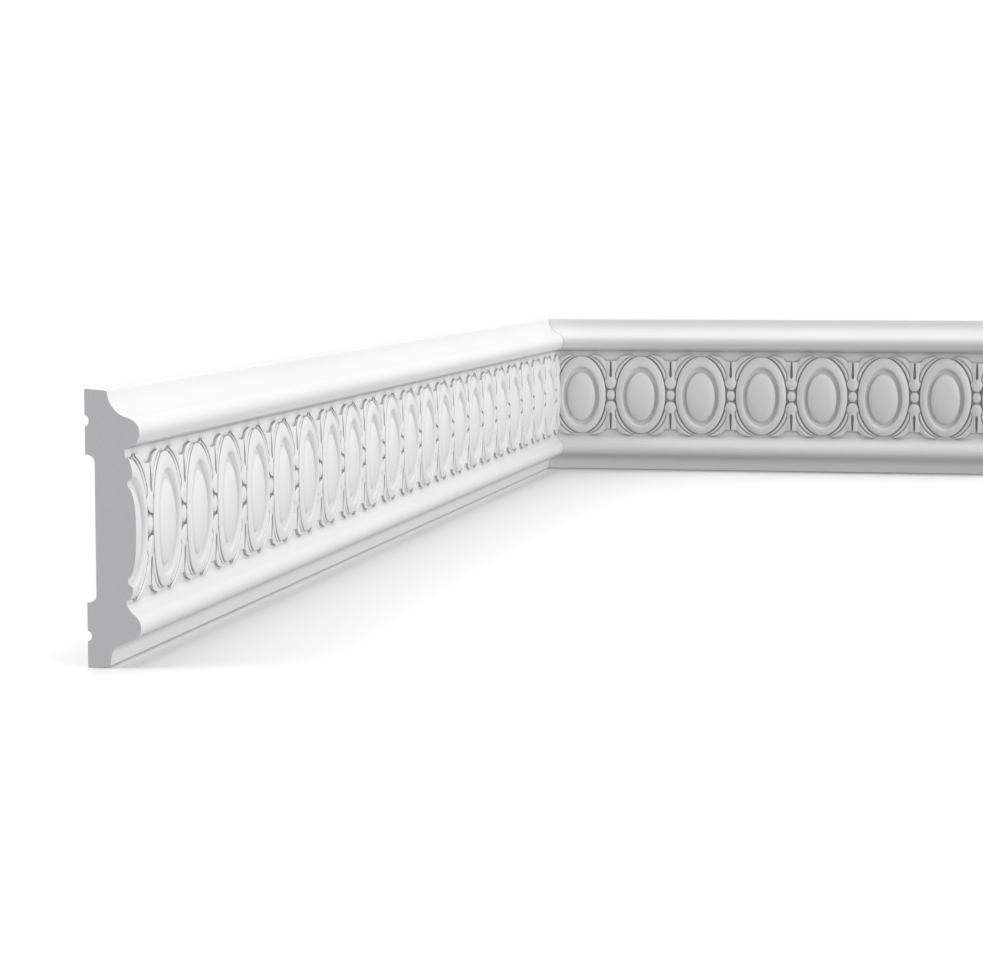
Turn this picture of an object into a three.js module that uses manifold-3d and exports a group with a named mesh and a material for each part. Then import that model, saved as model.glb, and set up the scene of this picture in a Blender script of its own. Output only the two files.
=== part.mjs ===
// Carved chair rail in two mitred lengths, turned round an inside corner.
// Millimetres, +Z up. The rail stands on its lower back edges; the back length runs
// along +X and the left length comes forward along -Y from the corner.
import * as THREE from 'three';
import { mergeVertices } from 'three/addons/utils/BufferGeometryUtils.js';
import Module from 'manifold-3d';

const wasm = await Module();
wasm.setup();

// Lengths of the two runs, measured along the wall from the inside corner
const leftLength = 883;
const backLength = 300;
const mitreGap = 0.3;

// Section: corners as a depth from the wall, a distance from the rail's nearer edge and,
// where the corner is rounded, how far before it its curve starts
const railHeight = 100;
const crownCorners = [          // upper edge down to the frieze
  [8.35, 0.65],
  [9.9, 8.3, 5.2],
  [18.7, 11, 2.2],
  [20.9, 15, 2],
  [19.2, 19.4],
  [14.7, 21.4],
];
const footCorners = [           // lower edge up to the frieze
  [8.25, 0.7],
  [9.6, 7.6, 2.5],
  [19.9, 11.4, 2.6],
  [20.2, 17.3, 2.6],
  [16.3, 20.4, 1.2],
  [14.7, 23.3],
];
const friezeBow = 1.3;          // swell of the frieze at mid height

// Back of the section
const recessDepth = 3.5;
const recessHeight = 53;
const recessRound = 2.8;
const grooveInset = 11.4;       // glue groove's centre from the nearer edge
const grooveDepth = 1.45;
const grooveHalfHeight = 1.85;

// Ornament of the frieze, in heights from its middle line and widths from its own axis
const pitch = 39.55;            // bead to bead
const leftFirstBead = 31.7;     // first bead's distance from the back wall
const backFirstBead = 51.3;     // first bead's distance from the left wall
const embed = 1.5;              // how far every ornament reaches into the ground
const beadHalfWidth = 2.65;
const beadHalfHeight = 3.75;
const beadRelief = 1.5;
const beadEdgeRelief = 0.9;
const beadGap = 0.65;           // bead to medallion, and bead to leaf
const medallionHalfHeight = 25.3;
const ringCrestInset = 5.4;     // medallion's edge to the crest of its ring
const ringEdgeRelief = 1.25;
const ringRelief = 2;
const valleyWidth = 3.6;        // ring's crest to the bottom of the hollow
const valleyRelief = 0.4;
const domeFlank = 4.4;          // bottom of the hollow to the dome's shoulder
const domeShoulderRelief = 1.95;
const domeRelief = 2.3;
const leafGap = 0.45;           // leaf to medallion
const leafRelief = 1.2;
const leafFootHalfWidth = 1.6;
const slitHalfWidth = 0.45;
const slitBottom = 11.7;
const shoulderHeight = 22.3;    // flat shoulder on each side of the slit
const shoulderHalfWidth = 4.5;
const lobeReach = 9.5;          // highest lobe of the leaf, beyond the shoulder
const lobeHeight = 26;
const tipReach = 15;            // last tip, over the medallion's side
const tipHeight = 25.4;
const besideShares = [0.8, 0.5]; // heights where the leaf's side follows the medallion
const medallionSides = 14;
const beadSides = 6;
const curveSteps = 2;

const [friezeDepth, crownHeight] = crownCorners.at(-1);
const [, footHeight] = footCorners.at(-1);
const projection = Math.max(...crownCorners.map(([depth]) => depth));
const friezeHalf = (railHeight - crownHeight - footHeight) / 2;
const friezeMiddle = footHeight + friezeHalf;
const ornamentMiddle = railHeight / 2;
const medallionHalfWidth = pitch / 2 - beadHalfWidth - beadGap;

const primer = new THREE.MeshStandardMaterial({ color: 0xf1f1ef, roughness: 0.55, metalness: 0 });

// A closed geometry with its vertices merged becomes a solid that can be joined and cut
function solid(geometry) {
  geometry.deleteAttribute('normal');
  geometry.deleteAttribute('uv');
  const merged = mergeVertices(geometry, 1e-4);
  const index = merged.index.array;
  const triangles = [];
  for (let i = 0; i < index.length; i += 3) {
    const [a, b, c] = [index[i], index[i + 1], index[i + 2]];
    if (a !== b && b !== c && c !== a) triangles.push(a, b, c);
  }
  return new wasm.Manifold(new wasm.Mesh({
    numProp: 3,
    vertProperties: new Float32Array(merged.attributes.position.array),
    triVerts: new Uint32Array(triangles),
  }));
}

function surface(body) {
  const { vertProperties, triVerts } = body.getMesh();
  const geometry = new THREE.BufferGeometry();
  geometry.setAttribute('position', new THREE.BufferAttribute(vertProperties, 3));
  geometry.setIndex(new THREE.BufferAttribute(triVerts, 1));
  geometry.computeVertexNormals();
  return geometry;
}

// An outline through [x, y, round] corners. A corner's curve starts that far before it, and
// takes no more than half of an edge that it shares with another round corner
function roundedShape(corners) {
  const shape = new THREE.Shape();
  corners.forEach(([x, y, round = 0], i) => {
    const corner = new THREE.Vector2(x, y);
    const [before, after] = [i - 1, i + 1].map((at) => {
      const [nextX, nextY, nextRound] = corners.at(at % corners.length);
      const edge = new THREE.Vector2(nextX, nextY).sub(corner);
      return { edge, room: edge.length() * (nextRound ? 0.49 : 0.98) };
    });
    const reach = Math.min(round, before.room, after.room);
    const start = before.edge.setLength(reach).add(corner);
    const end = after.edge.setLength(reach).add(corner);
    if (i === 0) shape.moveTo(start.x, start.y);
    else shape.lineTo(start.x, start.y);
    if (reach > 0) shape.quadraticCurveTo(x, y, end.x, end.y);
  });
  return shape;
}

// The rail's section, x away from the wall and y up
function sectionShape() {
  const top = railHeight;
  const groove = (height) => [
    [0, height + grooveHalfHeight],
    [grooveDepth, height + grooveHalfHeight, grooveDepth],
    [grooveDepth, height - grooveHalfHeight, grooveDepth],
    [0, height - grooveHalfHeight],
  ];
  const crown = crownCorners.map(([depth, drop, round]) => [depth, top - drop, round]);
  return roundedShape([
    [0, 0],
    ...footCorners,
    [friezeDepth + friezeBow, friezeMiddle],
    ...crown.reverse(),
    [0, top],
    ...groove(top - grooveInset),
    [0, (top + recessHeight) / 2],
    [recessDepth, (top + recessHeight) / 2, recessRound],
    [recessDepth, (top - recessHeight) / 2, recessRound],
    [0, (top - recessHeight) / 2],
    ...groove(grooveInset),
  ]);
}

function bow(height) {
  const share = (height - friezeMiddle) / friezeHalf;
  return friezeBow * Math.max(0, 1 - share * share);
}

// Ornament is drawn round the origin on a flat ground, then set on the swollen frieze
function onFrieze(geometry, along, flip = 1) {
  const position = geometry.attributes.position;
  for (let i = 0; i < position.count; i++) {
    const height = ornamentMiddle + flip * position.getZ(i);
    const depth = friezeDepth + bow(height) + position.getY(i);
    position.setXYZ(i, along + flip * position.getX(i), depth, height);
  }
  return solid(geometry);
}

function medallion(along) {
  const crest = medallionHalfHeight - ringCrestInset;
  const valley = crest - valleyWidth;
  const profile = [
    [0, -embed],
    [medallionHalfHeight, -embed],
    [medallionHalfHeight, ringEdgeRelief],
    [crest, ringRelief],
    [valley, valleyRelief],
    [valley - domeFlank, domeShoulderRelief],
    [0, domeRelief],
  ];
  return turned(profile, medallionSides, medallionHalfWidth / medallionHalfHeight, along);
}

function bead(along) {
  const profile = [
    [0, -embed],
    [beadHalfHeight, -embed],
    [beadHalfHeight, beadEdgeRelief],
    [0, beadRelief],
  ];
  return turned(profile, beadSides, beadHalfWidth / beadHalfHeight, along);
}

function turned(profile, sides, widthShare, along) {
  const points = profile.map(([radius, relief]) => new THREE.Vector2(radius, relief));
  const geometry = new THREE.LatheGeometry(points, sides);
  geometry.scale(widthShare, 1, 1);
  return onFrieze(geometry, along);
}

// A split pair of leaves above a bead, or below it when flipped: it follows the two
// medallions beside it, and a slit parts its two shoulders
function leafPair(along, flip) {
  const reachX = medallionHalfWidth + leafGap;
  const reachZ = medallionHalfHeight + leafGap;
  const besideMedallion = (share) => [pitch / 2 - reachX * Math.sqrt(1 - share * share), reachZ * share];
  const half = [
    [slitHalfWidth, shoulderHeight],
    [shoulderHalfWidth, shoulderHeight],
    [(shoulderHalfWidth + lobeReach) / 2, (shoulderHeight + 2 * lobeHeight) / 3],
    [lobeReach, lobeHeight],
    [tipReach, tipHeight],
    ...besideShares.map(besideMedallion),
    [leafFootHalfWidth, beadHalfHeight + beadGap],
  ];
  const mirrored = half.map(([x, z]) => [-x, z]).reverse();
  const shape = roundedShape([[0, slitBottom], ...half, ...mirrored]);
  const geometry = new THREE.ExtrudeGeometry(shape, { depth: embed + leafRelief, bevelEnabled: false });
  geometry.rotateX(Math.PI / 2);
  geometry.translate(0, leafRelief, 0);
  return onFrieze(geometry, along, flip);
}

// One length of rail: x runs along the wall from the inside corner, towards +x when side is 1
// and towards -x when it is -1, y is the depth from the wall
function railLength(name, length, firstBead, side) {
  const beyond = 2 * projection;
  const section = new THREE.ExtrudeGeometry(sectionShape(), {
    depth: length + 2 * beyond,
    bevelEnabled: false,
    curveSegments: curveSteps,
  });
  const alongWall = new THREE.Matrix4().makeBasis(
    new THREE.Vector3(0, 1, 0),
    new THREE.Vector3(0, 0, 1),
    new THREE.Vector3(1, 0, 0),
  );
  section.applyMatrix4(alongWall);
  section.translate(side > 0 ? -beyond : -length - beyond, 0, 0);
  let body = solid(section);

  for (let along = firstBead - pitch; along < length + pitch; along += pitch) {
    const here = side * along;
    body = body.add(medallion(here + side * pitch / 2)).add(bead(here));
    body = body.add(leafPair(here, 1)).add(leafPair(here, -1));
  }
  body = body.intersect(keptPlan(length, side));

  const mesh = new THREE.Mesh(surface(body), primer);
  mesh.name = name;
  return mesh;
}

// The plan that a length keeps: mitred at the corner, with half the gap, and cut square
function keptPlan(length, side) {
  const beyond = 2 * projection;
  const clearance = mitreGap * Math.SQRT1_2;
  const plan = new THREE.Shape([
    new THREE.Vector2(side * (clearance - beyond), -beyond),
    new THREE.Vector2(side * length, -beyond),
    new THREE.Vector2(side * length, beyond),
    new THREE.Vector2(side * (clearance + beyond), beyond),
  ]);
  const geometry = new THREE.ExtrudeGeometry(plan, { depth: 2 * railHeight, bevelEnabled: false });
  geometry.translate(0, 0, -railHeight / 2);
  return solid(geometry);
}

// The origin lies under the middle of the plan, on the surface the corner stands on
const corner = new THREE.Vector3(-backLength / 2, leftLength / 2, 0);

const leftRail = railLength('left_wall_rail', leftLength, leftFirstBead, 1);
leftRail.rotation.z = -Math.PI / 2;
leftRail.position.copy(corner);

const backRail = railLength('back_wall_rail', backLength, backFirstBead, -1);
backRail.rotation.z = Math.PI;
backRail.position.copy(corner);

const chairRail = new THREE.Group();
chairRail.add(leftRail, backRail);

export default chairRail;
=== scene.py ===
# Chair rail round an inside corner: its moulded surface, its paint and the studio.
# Sizes in the dictionaries are millimetres unless they say metres; the meshes are metres.
from math import pi, radians, sqrt

import bmesh
import bpy
from mathutils import Matrix, Vector


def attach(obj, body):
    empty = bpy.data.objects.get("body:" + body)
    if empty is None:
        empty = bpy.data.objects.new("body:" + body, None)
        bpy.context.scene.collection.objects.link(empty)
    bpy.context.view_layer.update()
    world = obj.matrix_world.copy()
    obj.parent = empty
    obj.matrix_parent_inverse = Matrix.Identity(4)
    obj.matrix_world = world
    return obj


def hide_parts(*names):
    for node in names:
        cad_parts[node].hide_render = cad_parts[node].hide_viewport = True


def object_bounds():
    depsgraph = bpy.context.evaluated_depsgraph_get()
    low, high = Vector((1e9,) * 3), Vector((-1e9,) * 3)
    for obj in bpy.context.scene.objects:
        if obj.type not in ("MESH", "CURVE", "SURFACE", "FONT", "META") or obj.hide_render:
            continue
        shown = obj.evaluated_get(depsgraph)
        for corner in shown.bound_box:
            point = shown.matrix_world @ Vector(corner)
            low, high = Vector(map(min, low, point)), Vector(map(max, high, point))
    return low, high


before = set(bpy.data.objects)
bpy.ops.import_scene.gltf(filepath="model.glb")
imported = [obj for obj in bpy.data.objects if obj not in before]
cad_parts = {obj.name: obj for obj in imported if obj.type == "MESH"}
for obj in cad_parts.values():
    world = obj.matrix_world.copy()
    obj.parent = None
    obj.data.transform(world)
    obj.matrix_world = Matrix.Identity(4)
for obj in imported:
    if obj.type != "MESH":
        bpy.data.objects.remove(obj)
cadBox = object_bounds()
scene = bpy.context.scene
millimetre = 0.001
sameSpot = 1e-4  # millimetres

camera = {
    "place": (0.18808, -1.37601, 0.15314),  # metres
    "turnLeft": 11.521,
    "lookDown": 5.183,
    "roll": -0.118,
    "lens": 101.5,
    "sensor": 36,
    "reach": 60,  # metres
}

cameraData = bpy.data.cameras.new("studioCamera")
cameraData.lens = camera["lens"]
cameraData.sensor_width = camera["sensor"]
cameraData.sensor_fit = "HORIZONTAL"
cameraData.clip_end = camera["reach"]
cameraObject = bpy.data.objects.new("studioCamera", cameraData)
cameraObject.matrix_world = (
    Matrix.Translation(camera["place"])
    @ Matrix.Rotation(radians(camera["turnLeft"]), 4, "Z")
    @ Matrix.Rotation(radians(90 - camera["lookDown"]), 4, "X")
    @ Matrix.Rotation(radians(camera["roll"]), 4, "Z")
)
scene.collection.objects.link(cameraObject)
scene.camera = cameraObject
print("camera placed")


# Materials

class Wire:
    # A shader socket that can be written into sums and products
    def __init__(self, paint, socket):
        self.paint = paint
        self.socket = socket

    def joined(self, operation, first, second):
        inputs = {0: first, 1: second}
        return self.paint.add("ShaderNodeMath", {"operation": operation}, inputs)

    def __add__(self, other):
        return self.joined("ADD", self, other)

    def __rsub__(self, other):
        return self.joined("SUBTRACT", other, self)

    def __mul__(self, other):
        return self.joined("MULTIPLY", self, other)


class Paint:
    # The nodes of a material, or of the world
    def __init__(self, owner):
        self.owner = owner
        owner.use_nodes = True
        self.tree = owner.node_tree
        self.tree.nodes.clear()

    def add(self, kind, settings, inputs, output=0):
        node = self.tree.nodes.new(kind)
        for key, value in settings.items():
            setattr(node, key, value)
        for key, value in inputs.items():
            if isinstance(value, Wire):
                self.tree.links.new(value.socket, node.inputs[key])
            else:
                node.inputs[key].default_value = value
        return Wire(self, node.outputs[output])

    def place(self):
        return self.add("ShaderNodeTexCoord", {}, {}, "Object")

    def noise(self, scale, detail):
        inputs = {"Vector": self.place(), "Scale": scale, "Detail": detail}
        return self.add("ShaderNodeTexNoise", {}, inputs, "Fac")

    def spread(self, value, low, high, toLow, toHigh):
        inputs = {"Value": value, 1: low, 2: high, 3: toLow, 4: toHigh}
        return self.add("ShaderNodeMapRange", {"clamp": True}, inputs, "Result")

    def mixed(self, factor, first, second):
        inputs = {"Factor": factor, 6: first, 7: second}
        return self.add("ShaderNodeMix", {"data_type": "RGBA"}, inputs, 2)

    def finish(self, colour, roughness, height, depth):
        bump = self.add("ShaderNodeBump", {}, {"Height": height, "Strength": 1.0, "Distance": depth})
        surface = {"Base Color": colour, "Roughness": roughness, "Normal": bump}
        shader = self.add("ShaderNodeBsdfPrincipled", {}, surface, "BSDF")
        output = self.tree.nodes.new("ShaderNodeOutputMaterial")
        self.tree.links.new(shader.socket, output.inputs["Surface"])
        return self.owner


primer = {
    "paint": (0.80, 0.80, 0.80, 1),
    "cooler": (0.775, 0.78, 0.785, 1),
    # painted shade: where ambient occlusion finds creases and hollows closed in, their colour is turned
    # to this dark grey
    "hollow": (0.32, 0.32, 0.33, 1),
    "hollowReach": 0.0045,  # metres
    "hollowSamples": 8,
    "openness": (0.42, 0.88),  # openness at which the painted shade in hollows is full, and where it ends
    "cloudScale": 9,
    "cloudDetail": 2,
    "cloudBand": (0.35, 0.65),
    "grainScale": 900,
    "grainDetail": 1,
    "grainDepth": 0.00004,  # metres
    "roughBand": (0.7, 1.3),
    "roughness": (0.40, 0.52),
}


def primerPaint():
    paint = Paint(bpy.data.materials.new("whitePrimer"))
    clouds = paint.noise(primer["cloudScale"], primer["cloudDetail"])
    grain = paint.noise(primer["grainScale"], primer["grainDetail"])
    cloudy = paint.spread(clouds, *primer["cloudBand"], 0, 1)
    base = paint.mixed(cloudy, primer["paint"], primer["cooler"])
    # Painted shade: the colour darkens towards the dark grey in creases and hollows, measured by
    # ambient occlusion
    openness = paint.add(
        "ShaderNodeAmbientOcclusion",
        {"samples": primer["hollowSamples"], "only_local": True},
        {"Distance": primer["hollowReach"]},
        "AO",
    )
    hollow = paint.spread(openness, *primer["openness"], 1, 0)
    colour = paint.mixed(hollow, base, primer["hollow"])
    rough = paint.spread(clouds + grain, *primer["roughBand"], *primer["roughness"])
    return paint.finish(colour, rough, grain, primer["grainDepth"])


bareFoam = {
    "foam": (0.655, 0.675, 0.685, 1),
    "cells": (0.62, 0.64, 0.65, 1),
    "cellScale": 1700,
    "cellDepth": 0.00003,  # metres
    "cellBand": (0.2, 0.7),
    "roughness": (0.8, 0.9),
}


def foamCut():
    paint = Paint(bpy.data.materials.new("bareFoam"))
    inputs = {"Vector": paint.place(), "Scale": bareFoam["cellScale"]}
    cells = paint.add("ShaderNodeTexVoronoi", {}, inputs, "Distance")
    speckle = paint.spread(cells, *bareFoam["cellBand"], 0, 1)
    colour = paint.mixed(speckle, bareFoam["foam"], bareFoam["cells"])
    rough = paint.spread(cells, 0, 1, *bareFoam["roughness"])
    return paint.finish(colour, rough, 1 - cells, bareFoam["cellDepth"])


whitePrimer = primerPaint()
cutFoam = foamCut()
print("materials made")


# Shaping helpers. A piece is drawn in the wall's own directions: x along the wall,
# y out of the wall and z up

def roundedFace(bm, corners, place, segments):
    # A flat face through (x, z, reach) corners; a corner's round starts that far before it
    verts = [bm.verts.new(place(first, second)) for first, second, reach in corners]
    bm.faces.new(verts)
    for vert, (first, second, reach) in zip(verts, corners):
        if reach:
            bmesh.ops.bevel(
                bm, geom=[vert], offset=reach, offset_type="OFFSET", segments=segments,
                profile=0.5, affect="VERTICES", material=-1, clamp_overlap=True,
            )


def meshObject(name, bm, material):
    mesh = bpy.data.meshes.new(name)
    bm.to_mesh(mesh)
    bm.free()
    mesh.materials.append(material)
    piece = bpy.data.objects.new(name, mesh)
    scene.collection.objects.link(piece)
    return piece


def joined(piece, tool, operation):
    # Joins or cuts a piece with a tool, which is used up
    modifier = piece.modifiers.new("joined", "BOOLEAN")
    modifier.operation = operation
    modifier.solver = "MANIFOLD"
    modifier.material_mode = "TRANSFER"
    modifier.object = tool
    graph = bpy.context.evaluated_depsgraph_get()
    mesh = bpy.data.meshes.new_from_object(piece.evaluated_get(graph))
    piece.modifiers.clear()
    piece.data = mesh
    bpy.data.objects.remove(tool)


# The rail's section: corners as depth from the wall, distance from the nearer edge and
# the reach of the corner's round

section = {
    "height": 100,
    "crown": [
        (8.35, 0.65, 0.25),
        (9.9, 8.3, 5.2),
        (18.7, 11, 2.2),
        (20.9, 15, 2.1),
        (19.2, 19.4, 0.3),
        (14.7, 21.4, 0),
    ],
    "foot": [
        (8.25, 0.7, 0.25),
        (9.6, 7.6, 2.5),
        (19.9, 11.4, 2.6),
        (20.2, 17.3, 2.6),
        (16.3, 20.4, 1.2),
        (14.7, 23.3, 0),
    ],
    "swell": 1.3,
    "swellSteps": 10,
    "groove": {"inset": 11.4, "depth": 1.45, "half": 1.85, "roundShare": 0.97},
    "recess": {"depth": 3.5, "height": 53, "round": 2.8},
    "segments": 7,
}
friezeDepth = section["crown"][-1][0]
friezeFoot = section["foot"][-1][1]
friezeTop = section["height"] - section["crown"][-1][1]


def swellAt(height):
    share = (2 * height - friezeTop - friezeFoot) / (friezeTop - friezeFoot)
    return section["swell"] * max(0, 1 - share * share)


def sectionCorners():
    height = section["height"]
    groove = section["groove"]
    recess = section["recess"]
    reach = groove["depth"] * groove["roundShare"]

    def glueGroove(middle):
        return [
            (0, middle + groove["half"], 0),
            (groove["depth"], middle + groove["half"], reach),
            (groove["depth"], middle - groove["half"], reach),
            (0, middle - groove["half"], 0),
        ]

    crown = [(depth, height - drop, curve) for depth, drop, curve in section["crown"]]
    return [
        (0, 0, 0),
        *section["foot"],
        *reversed(crown),
        (0, height, 0),
        *glueGroove(height - groove["inset"]),
        (0, (height + recess["height"]) / 2, 0),
        (recess["depth"], (height + recess["height"]) / 2, recess["round"]),
        (recess["depth"], (height - recess["height"]) / 2, recess["round"]),
        (0, (height - recess["height"]) / 2, 0),
        *glueGroove(groove["inset"]),
    ]


def railBar(start, length):
    bm = bmesh.new()
    roundedFace(bm, sectionCorners(), lambda depth, height: (start, depth, height), section["segments"])
    frieze = [
        edge for edge in bm.edges
        if {round(vert.co.z, 3) for vert in edge.verts} == {round(friezeFoot, 3), round(friezeTop, 3)}
    ]
    bmesh.ops.subdivide_edges(bm, edges=frieze, cuts=section["swellSteps"] - 1)
    for vert in bm.verts:
        if friezeFoot < vert.co.z < friezeTop and abs(vert.co.y - friezeDepth) < sameSpot:
            vert.co.y += swellAt(vert.co.z)
    grown = bmesh.ops.extrude_face_region(bm, geom=bm.faces[:])
    moved = [item for item in grown["geom"] if isinstance(item, bmesh.types.BMVert)]
    bmesh.ops.translate(bm, verts=moved, vec=(length, 0, 0))
    bmesh.ops.recalc_face_normals(bm, faces=bm.faces)
    return meshObject("railBar", bm, whitePrimer)


# Ornament: x across from the bead's axis, y the relief, z up from the ornament's middle line

ornament = {
    "middle": 50,
    "pitch": 39.55,
    "sunk": 1.2,  # how far it reaches into the ground
    "gap": 0.45,  # leaf to medallion
    "roundSides": 2,
    "dropPower": 6,  # how suddenly the drop of an inner oval fades at its rim
}

bead = {
    "halfWidth": 2.95,
    "halfHeight": 3.8,
    "gap": 0.35,
    "sides": 24,
    "lengthening": 0,
    "drop": 0,
    "profile": [
        (0, -ornament["sunk"], 0),
        (3.8, -ornament["sunk"], 0),
        (3.8, 0.85, 0.3),
        (2.9, 1.5, 0.9),
        (0, 1.7, 0),
    ],
}

medallion = {
    "halfHeight": 25.3,
    "sides": 60,
    "lengthening": 0.2,  # the inner ovals are this much slimmer towards the centre
    "drop": 1.2,  # and lie this much lower
    "profile": [
        (0, -ornament["sunk"], 0),
        (25.3, -ornament["sunk"], 0),
        (25.3, 1.35, 0.6),
        (20.9, 2.3, 1.8),
        (18.95, 2.1, 0.7),
        (17.3, 0.15, 0.4),
        (15.4, 0.05, 0.4),
        (14.1, 1.3, 1.0),
        (10.6, 2.25, 1.8),
        (6.5, 2.65, 2.5),
        (0, 2.75, 0),
    ],
}
medallion["halfWidth"] = ornament["pitch"] / 2 - bead["halfWidth"] - bead["gap"]


def turned(bm, shape, middle):
    # A profile turned about the relief's axis, then narrowed to its oval
    part = bmesh.new()
    sides = ornament["roundSides"]
    roundedFace(part, shape["profile"], lambda radius, relief: (0, relief, radius), sides)
    bmesh.ops.delete(part, geom=part.faces[:], context="FACES_ONLY")
    onAxis = [edge for edge in part.edges if all(abs(vert.co.z) < sameSpot for vert in edge.verts)]
    bmesh.ops.delete(part, geom=onAxis, context="EDGES")
    bmesh.ops.spin(
        part, geom=part.verts[:] + part.edges[:], cent=(0, 0, 0), axis=(0, 1, 0),
        angle=2 * pi, steps=shape["sides"], use_merge=True, use_duplicate=False,
    )
    bmesh.ops.remove_doubles(part, verts=part.verts, dist=sameSpot)
    for vert in part.verts:
        share = Vector((vert.co.x, vert.co.z)).length / shape["halfHeight"]
        vert.co.z *= 1 + shape["lengthening"] * (1 - share)
        vert.co.z -= shape["drop"] * (1 - share ** ornament["dropPower"])
    bmesh.ops.scale(part, verts=part.verts, vec=(shape["halfWidth"] / shape["halfHeight"], 1, 1))
    bmesh.ops.translate(part, verts=part.verts, vec=(middle, 0, 0))
    bmesh.ops.recalc_face_normals(part, faces=part.faces)
    added(bm, part)


def added(bm, part):
    # Puts a finished part into bm
    mesh = bpy.data.meshes.new("part")
    part.to_mesh(mesh)
    part.free()
    bm.from_mesh(mesh)
    bpy.data.meshes.remove(mesh)


def mirrored(bm, signs):
    # Adds the mirror image of all that is in bm
    copy = bmesh.ops.duplicate(bm, geom=bm.verts[:] + bm.edges[:] + bm.faces[:])["geom"]
    verts = [item for item in copy if isinstance(item, bmesh.types.BMVert)]
    faces = [item for item in copy if isinstance(item, bmesh.types.BMFace)]
    bmesh.ops.scale(bm, verts=verts, vec=signs)
    bmesh.ops.reverse_faces(bm, faces=faces)


acrossBead = (-1, 1, 1)
belowMiddle = (1, 1, -1)


def besideMedallion(share, away):
    # A point that far outside the medallion on the bead's right, at a share of its height
    reachX = medallion["halfWidth"] + ornament["gap"] + away
    reachZ = medallion["halfHeight"] + ornament["gap"] + away
    return ornament["pitch"] / 2 - reachX * sqrt(1 - share * share), reachZ * share


leaf = {
    "relief": 2.1,  # at the slit
    "lowest": 1.2,
    "fall": 0.26,  # relief lost for each millimetre away from the slit
    "ground": 0.65,  # relief of the plate below the ribs
    "edgeRound": 0.22,
    "edgeSides": 2,
    "roundSides": 3,
    "steep": 0.5,  # an edge beside a face that leans out less than this is rounded
    "slit": [(0.4, 11.6, 0.3), (0.95, 13.0, 0.5), (0.75, 16.5, 0.8), (0.4, 22.3, 0.2)],
    "lobe": [
        (3.5, 22.3, 0.5),
        (4.7, 23.3, 0.5),
        (5.9, 24.8, 0.7),
        (7.8, 25.5, 0.6),
        (10.2, 25.95, 0.4),
        (12.4, 26.4, 0.4),
    ],
    "lobeTip": [(13.4, 26.2, 0.2)],
    "groove": 0.3,  # between the lobe and the outer rib
    "grooveEnd": [(2.65, 11.0, 0.3)],
    "tip": [(13.3, 26.3, 0.4), (14.2, 25.4, 0.3)],
    "lobeSides": [0.978, 0.9, 0.78, 0.62, 0.47],
    "sides": [0.35, 0.27],
    "sideRound": 0.4,
    "foot": [(2.75, 5.2, 1.1), (1.1, 4.1, 0.6)],
    "groundTop": [(1.3, 22.2, 0)],
    "neck": [(2.7, 4.9, 0.9), (1.4, 4.1, 0.3), (1.3, 3.0, 0)],
}


def plate(bm, half, heightAt):
    # A closed plate with the outline of half and its mirror image, and its edge rounded
    otherHalf = [(-x, z, reach) for x, z, reach in reversed(half)]
    part = bmesh.new()
    sides = leaf["roundSides"]
    roundedFace(part, half + otherHalf, lambda x, z: (x, -ornament["sunk"], z), sides)
    grown = bmesh.ops.extrude_face_region(part, geom=part.faces[:])["geom"]
    top = [item for item in grown if isinstance(item, bmesh.types.BMVert)]
    bmesh.ops.translate(part, verts=top, vec=(0, heightAt(0) + ornament["sunk"], 0))
    level = (leaf["relief"] - leaf["lowest"]) / leaf["fall"]
    for x in (-level, 0, level):
        everything = part.verts[:] + part.edges[:] + part.faces[:]
        bmesh.ops.bisect_plane(part, geom=everything, plane_co=(x, 0, 0), plane_no=(1, 0, 0))
    for vert in part.verts:
        if vert.co.y > 0:
            vert.co.y = heightAt(abs(vert.co.x))
    bmesh.ops.recalc_face_normals(part, faces=part.faces)
    above = [edge for edge in part.edges if min(vert.co.y for vert in edge.verts) > 0]
    rim = [edge for edge in above if min(face.normal.y for face in edge.link_faces) < leaf["steep"]]
    bmesh.ops.bevel(
        part, geom=rim, offset=leaf["edgeRound"], offset_type="OFFSET", segments=leaf["edgeSides"],
        profile=0.5, affect="EDGES", material=-1, clamp_overlap=True,
    )
    added(bm, part)


def leafSides(shares):
    return [(*besideMedallion(share, 0), leaf["sideRound"]) for share in shares]


def leafBody(bm):
    # Both halves of the leaf above a bead, with the slit between their shoulders
    parting = [
        (*besideMedallion(share, 2 * halfWidth + leaf["groove"]), leaf["groove"])
        for share, halfWidth in reversed(ribs["outer"][ribs["parted"]])
    ]
    outside = leaf["lobe"] + leaf["lobeTip"] + parting + leaf["grooveEnd"]
    half = leaf["slit"] + outside + leafSides(leaf["sides"]) + leaf["foot"]
    plate(bm, half, lambda x: max(leaf["lowest"], leaf["relief"] - leaf["fall"] * x))


def leafGround(bm):
    # The lower plate that reaches to the tips and down to the bead, on which the ribs lie
    outside = leafSides(leaf["lobeSides"] + leaf["sides"])
    half = leaf["groundTop"] + leaf["lobe"] + leaf["tip"] + outside + leaf["neck"]
    plate(bm, half, lambda x: leaf["ground"])


ribs = {
    "sides": 8,
    "relief": 1.55,
    "fullFrom": 0.7,  # half width below which a rib sinks to its point
    # the curled edge of the leaf, as x, z and half width
    "lobe": [
        (3.0, 15.4, 0.15),
        (4.0, 18.0, 0.65),
        (5.4, 20.8, 1.1),
        (7.35, 23.3, 1.3),
        (9.8, 24.8, 0.95),
        (12.2, 25.75, 0.2),
    ],
    # along the medallion, as a share of its height and half width
    "outer": [
        (0.33, 0.12),
        (0.385, 0.55),
        (0.43, 0.95),
        (0.5, 1.15),
        (0.58, 1.22),
        (0.66, 1.22),
        (0.74, 1.15),
        (0.81, 1.05),
        (0.87, 0.9),
        (0.92, 0.72),
        (0.955, 0.5),
        (0.98, 0.12),
    ],
    "parted": slice(3, -2),  # the stations of the outer rib with the groove beside them
}


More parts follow.
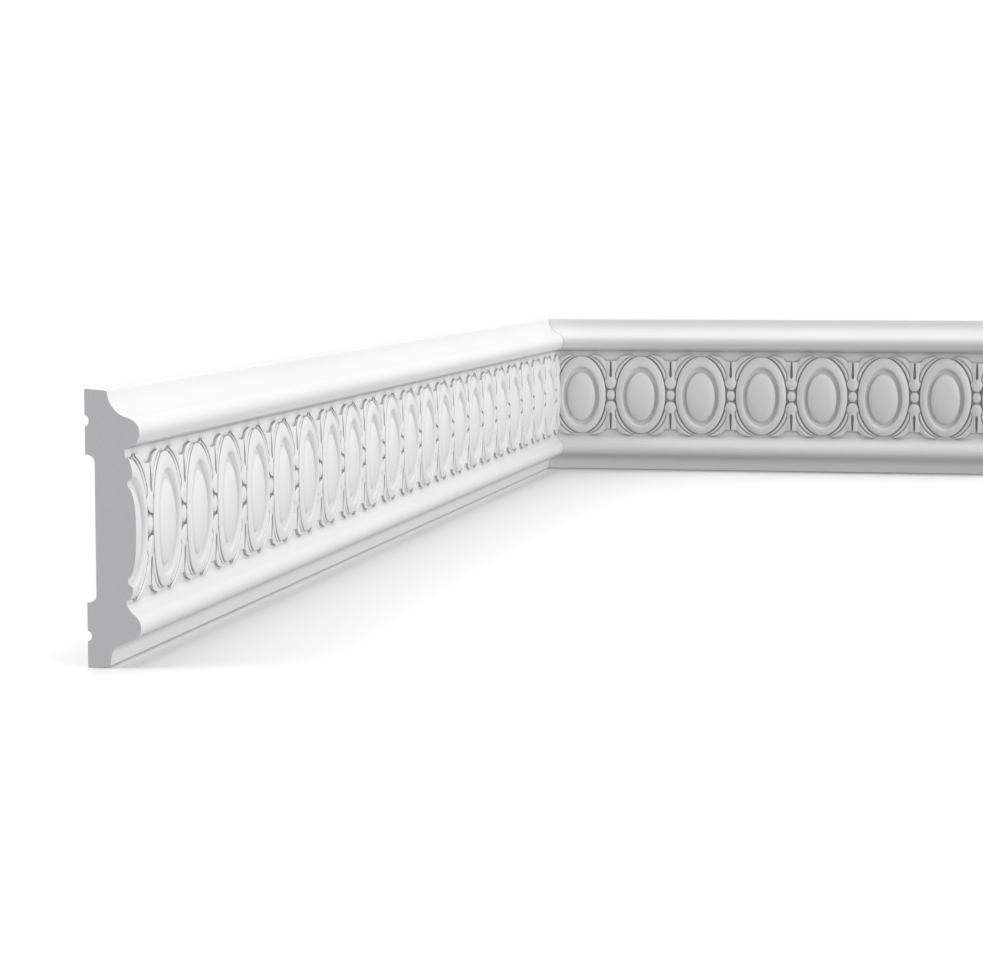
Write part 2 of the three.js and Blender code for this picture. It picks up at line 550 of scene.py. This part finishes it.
def sweptRib(bm, stations):
    # A half-round rib through (x, z, half width) stations, its lower half in the ground
    part = bmesh.new()
    ring = bmesh.ops.create_circle(part, segments=ribs["sides"], radius=1, cap_ends=True)["verts"]
    flat = [vert.co.copy() for vert in ring]
    end = part.faces[:][0]
    for at, (x, z, halfWidth) in enumerate(stations):
        if at:
            last = end
            grown = bmesh.ops.extrude_face_region(part, geom=[last])["geom"]
            new = [item for item in grown if isinstance(item, bmesh.types.BMVert)]
            end = [item for item in grown if isinstance(item, bmesh.types.BMFace)][0]
            if at > 1:
                bmesh.ops.delete(part, geom=[last], context="FACES_ONLY")
            ring = [min(new, key=lambda vert: (vert.co - old.co).length) for old in ring]
        before = Vector(stations[max(at - 1, 0)][:2])
        after = Vector(stations[min(at + 1, len(stations) - 1)][:2])
        heading = (after - before).normalized()
        across = Vector((heading.y, 0, -heading.x))
        height = ribs["relief"] * min(1, halfWidth / ribs["fullFrom"])
        for vert, spot in zip(ring, flat):
            up = Vector((0, height * spot.y, 0))
            vert.co = Vector((x, 0, z)) + across * (halfWidth * spot.x) + up
    bmesh.ops.recalc_face_normals(part, faces=part.faces)
    added(bm, part)


def ornamentUnit():
    # One bead with its leaves above and below, and the medallion on its right
    bm = bmesh.new()
    leafBody(bm)
    mirrored(bm, belowMiddle)
    turned(bm, bead, 0)
    turned(bm, medallion, ornament["pitch"] / 2)
    unit = meshObject("ornamentUnit", bm, whitePrimer)
    bm = bmesh.new()
    leafGround(bm)
    mirrored(bm, belowMiddle)
    joined(unit, meshObject("leafGround", bm, whitePrimer), "UNION")
    outer = [(*besideMedallion(share, halfWidth), halfWidth) for share, halfWidth in ribs["outer"]]
    for stations in (ribs["lobe"], outer):
        bm = bmesh.new()
        sweptRib(bm, stations)
        mirrored(bm, acrossBead)
        mirrored(bm, belowMiddle)
        joined(unit, meshObject("rib", bm, whitePrimer), "UNION")
    return unit


def ornamentRun(unit, firstBead, length):
    # The unit repeated along a length and set on the swollen frieze
    bm = bmesh.new()
    along = firstBead - ornament["pitch"]
    while along < length + ornament["pitch"]:
        first = len(bm.verts)
        bm.from_mesh(unit.data)
        bm.verts.ensure_lookup_table()
        bmesh.ops.translate(bm, verts=bm.verts[first:], vec=(along, 0, ornament["middle"]))
        along += ornament["pitch"]
    for vert in bm.verts:
        vert.co.y += friezeDepth + swellAt(vert.co.z)
    return meshObject("ornamentRun", bm, whitePrimer)


# The two lengths

lengths = {
    "mitreGap": 0.3,
    "overrun": 60,
    "smoothBelow": 33,  # degrees
    "left_wall_rail": {"name": "leftRail", "firstBead": 31.7, "along": (0, -1, 0), "out": (1, 0, 0)},
    "back_wall_rail": {"name": "backRail", "firstBead": 51.3, "along": (1, 0, 0), "out": (0, -1, 0)},
}


def keptPlan(length):
    # What a length keeps, seen from above: mitred at the corner and cut square at its end
    over = lengths["overrun"]
    clearance = lengths["mitreGap"] * sqrt(0.5)
    bm = bmesh.new()
    plan = [
        (clearance - over, -over),
        (length, -over),
        (length, over),
        (clearance + over, over),
    ]
    bm.faces.new([bm.verts.new((x, y, -over)) for x, y in plan])
    grown = bmesh.ops.extrude_face_region(bm, geom=bm.faces[:])["geom"]
    top = [item for item in grown if isinstance(item, bmesh.types.BMVert)]
    bmesh.ops.translate(bm, verts=top, vec=(0, 0, section["height"] + 2 * over))
    bmesh.ops.recalc_face_normals(bm, faces=bm.faces)
    return meshObject("keptPlan", bm, cutFoam)


def railLength(node, unit, length, corner):
    run = lengths[node]
    over = lengths["overrun"]
    piece = railBar(-over, length + 2 * over)
    piece.name = run["name"]
    joined(piece, ornamentRun(unit, run["firstBead"], length), "UNION")
    joined(piece, keptPlan(length), "INTERSECT")
    along = Vector(run["along"]) * millimetre
    out = Vector(run["out"]) * millimetre
    up = Vector((0, 0, millimetre))
    place = Matrix((along, out, up)).transposed().to_4x4()
    place.translation = corner
    piece.data.transform(place)
    if place.determinant() < 0:
        piece.data.flip_normals()
    bm = bmesh.new()
    bm.from_mesh(piece.data)
    bmesh.ops.triangulate(bm, faces=bm.faces)
    # Two faces on the same corners lie back to back and enclose nothing
    sharing = {}
    for face in bm.faces:
        sharing.setdefault(frozenset(face.verts), []).append(face)
    flaps = [face for faces in sharing.values() if len(faces) > 1 for face in faces]
    bmesh.ops.delete(bm, geom=flaps, context="FACES")
    bm.to_mesh(piece.data)
    bm.free()
    piece.data.shade_smooth()
    piece.data.set_sharp_from_angle(angle=radians(lengths["smoothBelow"]))
    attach(piece, "root")
    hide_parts(node)
    print(piece.name, "has", len(piece.data.polygons), "triangles")


low, high = cadBox
corner = Vector((low[0], high[1], 0))
unit = ornamentUnit()
print("ornament unit has", len(unit.data.polygons), "faces")
railLength("left_wall_rail", unit, (high[1] - low[1]) / millimetre, corner)
railLength("back_wall_rail", unit, (high[0] - low[0]) / millimetre, corner)
bpy.data.objects.remove(unit)


# Studio

studio = {
    "floorSize": 40,  # metres
    "floorCells": 4,
    "floorPaint": (0.96, 0.96, 0.96, 1),
    "floorScale": 3,
    "floorDetail": 2,
    "floorDepth": 0.00001,  # metres
    "floorRoughness": (0.55, 0.6),
    # brightness of the air in front, behind, below and along the horizon
    "front": 0.12,
    "behind": 1.03,
    "below": 0.3,
    "horizon": 1.03,
    # the directions between which each of them fades in
    "behindBand": (0, 0.5),
    "belowBand": (-0.02, -0.12),
    "horizonBand": (0.18, 0.03),
    "spread": 45,  # degrees
    "lamps": {
        "right": {"strength": 1.32, "from": (1, -0.2, 0.25)},
        "front": {"strength": 0.74, "from": (0.75, -0.75, 0.25)},
        "top": {"strength": 0.94, "from": (0, 0, 1)},
        "left": {"strength": 1.26, "from": (-0.7, -0.2, 0.8)},
    },
}


def floorPaint():
    paint = Paint(bpy.data.materials.new("paleFloor"))
    cloud = paint.noise(studio["floorScale"], studio["floorDetail"])
    rough = paint.spread(cloud, 0, 1, *studio["floorRoughness"])
    return paint.finish(studio["floorPaint"], rough, cloud, studio["floorDepth"])


bm = bmesh.new()
cells = studio["floorCells"]
bmesh.ops.create_grid(bm, x_segments=cells, y_segments=cells, size=studio["floorSize"] / 2)
floor = meshObject("studioFloor", bm, floorPaint())
# The underside of the rail is lit by the air below, not by the floor
floor.visible_diffuse = False
floor.visible_glossy = False
floor.visible_shadow = False

air = Paint(bpy.data.worlds.new("studioAir"))
facing = air.add("ShaderNodeTexCoord", {}, {}, "Generated")
rise = air.add("ShaderNodeSeparateXYZ", {}, {"Vector": facing}, "Z")
away = air.add("ShaderNodeSeparateXYZ", {}, {"Vector": facing}, "Y")
sky = air.spread(away, *studio["behindBand"], studio["front"], studio["behind"])
above = sky + (studio["horizon"] - sky) * air.spread(rise, *studio["horizonBand"], 0, 1)
level = above + (studio["below"] - above) * air.spread(rise, *studio["belowBand"], 0, 1)
glow = air.add("ShaderNodeBackground", {}, {"Color": (1, 1, 1, 1), "Strength": level}, "Background")
output = air.tree.nodes.new("ShaderNodeOutputWorld")
air.tree.links.new(glow.socket, output.inputs["Surface"])
scene.world = air.owner

for name, values in studio["lamps"].items():
    lamp = bpy.data.lights.new(name, "SUN")
    lamp.energy = values["strength"]
    lamp.angle = radians(studio["spread"])
    holder = bpy.data.objects.new(name, lamp)
    holder.rotation_euler = Vector(values["from"]).to_track_quat("Z", "Y").to_euler()
    scene.collection.objects.link(holder)

scene.view_settings.view_transform = "Standard"
print("studio lit")
